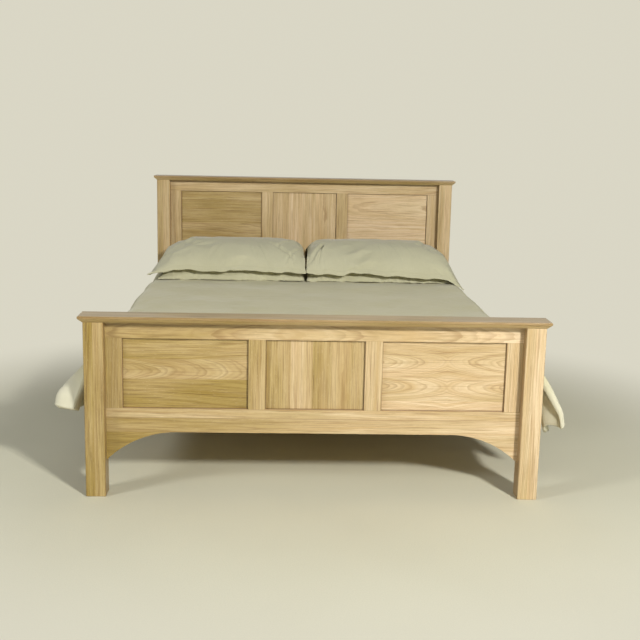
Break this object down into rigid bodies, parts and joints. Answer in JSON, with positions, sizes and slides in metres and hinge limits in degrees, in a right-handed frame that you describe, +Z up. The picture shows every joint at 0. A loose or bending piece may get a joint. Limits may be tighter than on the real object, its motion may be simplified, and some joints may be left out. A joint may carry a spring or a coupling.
{
  "type": "panel bed",
  "caption": "Wooden bed with a tall framed-panel headboard, a lower framed-panel footboard over an arched apron, a slatted base, mattress, duvet and stacked pillows.",
  "frame": {"origin": "on the floor, midway between the two sides and midway between the two ends", "axes": "+X to the right seen from the foot end, +Y from the foot end to the head end, +Z up"},
  "size_m": [1.77, 2.198, 0.987],
  "materials": {
    "oak_frame": "clear satin lacquer on light oak, grain along each board",
    "oak_panels": "clear satin lacquer on glued-up light oak boards",
    "pine_base": "planed, unfinished softwood",
    "steel_fixings": "zinc-plated",
    "duvet_cover": "plain-weave cotton, muted sage green",
    "pillow_cover": "plain-weave cotton, pale sage green",
    "mattress_ticking": "off-white quilted ticking"
  },
  "bodies": {
    "bed_frame": {"centre_leg_foot": "pine_base", "centre_leg_head": "pine_base", "centre_rail": "pine_base", "centre_rail_shoe_foot": "steel_fixings", "centre_rail_shoe_head": "steel_fixings", "footboard_arch_apron": "oak_frame", "footboard_bottom_rail": "oak_frame", "footboard_cap": "oak_frame", "footboard_muntin_left": "oak_frame", "footboard_muntin_right": "oak_frame", "footboard_panel_centre": "oak_panels", "footboard_panel_left": "oak_panels", "footboard_panel_right": "oak_panels", "footboard_post_left": "oak_frame", "footboard_post_right": "oak_frame", "footboard_stile_left": "oak_frame", "footboard_stile_right": "oak_frame", "footboard_top_rail": "oak_frame", "half_moon_washers": "steel_fixings", "headboard_bottom_rail": "oak_frame", "headboard_cap": "oak_frame", "headboard_muntin_left": "oak_frame", "headboard_muntin_right": "oak_frame", "headboard_panel_centre": "oak_panels", "headboard_panel_left": "oak_panels", "headboard_panel_right": "oak_panels", "headboard_post_left": "oak_frame", "headboard_post_right": "oak_frame", "headboard_stile_left": "oak_frame", "headboard_stile_right": "oak_frame", "headboard_top_rail": "oak_frame", "m8_nuts": "steel_fixings", "m8_studs": "steel_fixings", "side_rail_left": "oak_frame", "side_rail_right": "oak_frame", "slat_01": "pine_base", "slat_02": "pine_base", "slat_03": "pine_base", "slat_04": "pine_base", "slat_05": "pine_base", "slat_06": "pine_base", "slat_07": "pine_base", "slat_08": "pine_base", "slat_09": "pine_base", "slat_10": "pine_base", "slat_11": "pine_base", "slat_12": "pine_base", "slat_13": "pine_base", "slat_14": "pine_base", "slat_ledge_left": "pine_base", "slat_ledge_right": "pine_base"},
    "mattress": {"mattress": "mattress_ticking"},
    "duvet": {"duvet": "duvet_cover"},
    "pillow_lower_left": {"pillow_lower_left": "pillow_cover"},
    "pillow_lower_right": {"pillow_lower_right": "pillow_cover"},
    "pillow_upper_left": {"pillow_upper_left": "pillow_cover"},
    "pillow_upper_right": {"pillow_upper_right": "pillow_cover"}
  },
  "joints": [
    {"name": "mattress_lift", "type": "slide", "parent": "bed_frame", "child": "mattress", "axis": [0, 0, 1], "range_m": [0, 0.72]},
    {"name": "duvet_lift", "type": "slide", "parent": "mattress", "child": "duvet", "axis": [0, 0, 1], "range_m": [0, 0.3]},
    {"name": "pillow_lower_left_lift", "type": "slide", "parent": "duvet", "child": "pillow_lower_left", "axis": [0, 0, 1], "range_m": [0, 0.2]},
    {"name": "pillow_upper_left_lift", "type": "slide", "parent": "pillow_lower_left", "child": "pillow_upper_left", "axis": [0, 0, 1], "range_m": [0, 0.2]},
    {"name": "pillow_lower_right_lift", "type": "slide", "parent": "duvet", "child": "pillow_lower_right", "axis": [0, 0, 1], "range_m": [0, 0.2]},
    {"name": "pillow_upper_right_lift", "type": "slide", "parent": "pillow_lower_right", "child": "pillow_upper_right", "axis": [0, 0, 1], "range_m": [0, 0.2]}
  ]
}
